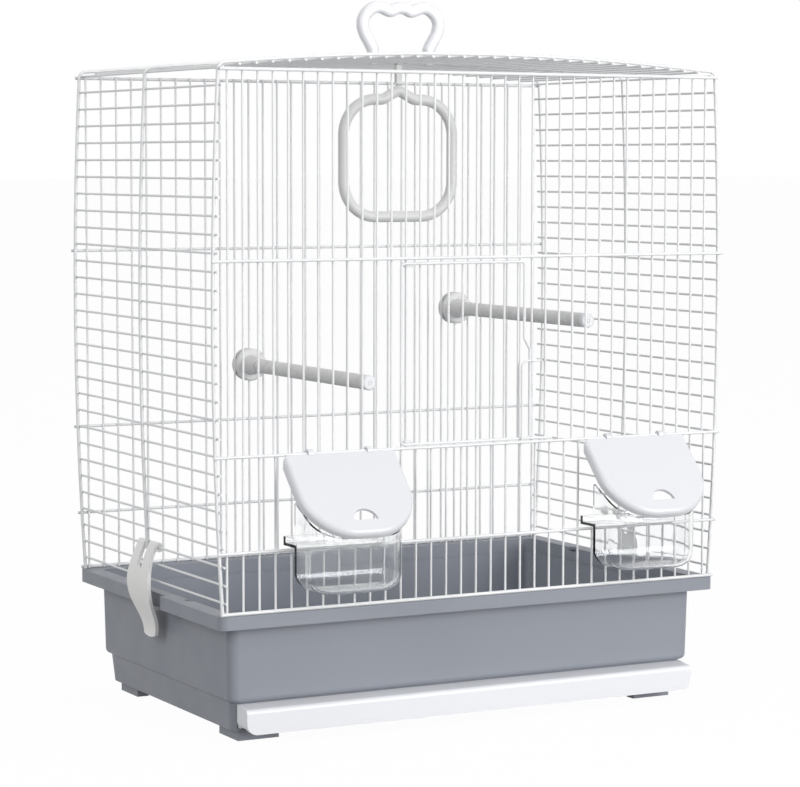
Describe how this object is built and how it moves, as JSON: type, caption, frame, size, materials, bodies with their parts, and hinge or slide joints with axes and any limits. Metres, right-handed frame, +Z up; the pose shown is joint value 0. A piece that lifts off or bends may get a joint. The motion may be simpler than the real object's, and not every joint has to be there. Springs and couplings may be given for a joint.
{
  "type": "bird cage",
  "caption": "Tabletop small-bird cage: white wire body on a grey tray with pull-out drawer, hinged door, lidded feeder cups, perches, swing, carry handle and side clips.",
  "frame": {"origin": "on the floor, in the plane of the feet, under the middle of the whole cage's box, which the feeder lids carry a little forward of the tray's middle", "axes": "+X to the right along the front, -Y out of the front with the door, feeders and drawer, +Z up"},
  "size_m": [0.4138, 0.3032, 0.5133],
  "materials": {
    "white_wire": "smooth white powder coat",
    "grey_tray": "satin moulded blue-grey plastic",
    "white_plastic": "smooth white moulded plastic",
    "light_grey_plastic": "satin light grey moulded plastic",
    "perch_grip": "light grey plastic with a fine moulded grain",
    "clear_plastic": "clear moulded plastic"
  },
  "bodies": {
    "cage": {"base_tray": "grey_tray", "front_hoop": "white_wire", "middle_hoop": "white_wire", "back_hoop": "white_wire", "front_crossbars": "white_wire", "back_crossbars": "white_wire", "front_top_rail": "white_wire", "front_bottom_rail": "white_wire", "front_upper_bars": "white_wire", "front_lower_bars": "white_wire", "back_bars": "white_wire", "left_side_wires": "white_wire", "right_side_wires": "white_wire", "roof_wires": "white_wire", "perch_left_hub": "light_grey_plastic", "perch_left_rod": "perch_grip", "perch_left_end_cap": "white_plastic", "perch_left_nut": "light_grey_plastic", "perch_right_hub": "light_grey_plastic", "perch_right_rod": "perch_grip", "perch_right_end_cap": "white_plastic", "perch_right_nut": "light_grey_plastic", "feeder_left_cup": "clear_plastic", "feeder_right_cup": "clear_plastic"},
    "drawer": {"drawer": "white_plastic"},
    "door": {"door_frame": "white_wire", "door_bars": "white_wire", "door_latch_wire": "white_wire", "door_hinge_eyes": "white_wire"},
    "swing": {"swing_ring": "light_grey_plastic", "swing_hook": "light_grey_plastic"},
    "handle": {"carry_handle": "white_plastic"},
    "left_lid": {"feeder_left_lid": "white_plastic"},
    "right_lid": {"feeder_right_lid": "white_plastic"},
    "left_clip": {"left_clip": "light_grey_plastic"},
    "right_clip": {"right_clip": "light_grey_plastic"}
  },
  "joints": [
    {"name": "drawer_slide", "type": "slide", "parent": "cage", "child": "drawer", "axis": [0, -1, 0], "range_m": [0, 0.2]},
    {"name": "door_hinge", "type": "hinge", "parent": "cage", "child": "door", "pos_m": [-0.0574, -0.10223, 0.263], "axis": [0, 0, -1], "range_deg": [0, 100]},
    {"name": "swing_hinge", "type": "hinge", "parent": "cage", "child": "swing", "pos_m": [0.003, 0.02202, 0.4705], "axis": [1, 0, 0], "range_deg": [-35, 35]},
    {"name": "handle_hinge", "type": "hinge", "parent": "cage", "child": "handle", "pos_m": [0.005, 0.02202, 0.47038], "axis": [1, 0, 0], "range_deg": [-70, 70]},
    {"name": "left_lid_hinge", "type": "hinge", "parent": "cage", "child": "left_lid", "pos_m": [-0.11013, -0.10417, 0.1981], "axis": [-1, 0, 0], "range_deg": [0, 115]},
    {"name": "right_lid_hinge", "type": "hinge", "parent": "cage", "child": "right_lid", "pos_m": [0.12903, -0.10417, 0.1981], "axis": [-1, 0, 0], "range_deg": [0, 115]},
    {"name": "left_clip_hinge", "type": "hinge", "parent": "cage", "child": "left_clip", "pos_m": [-0.19667, 0.02202, 0.1241], "axis": [0, 1, 0], "range_deg": [0, 100]},
    {"name": "right_clip_hinge", "type": "hinge", "parent": "cage", "child": "right_clip", "pos_m": [0.19667, 0.02202, 0.1241], "axis": [0, -1, 0], "range_deg": [0, 100]}
  ]
}
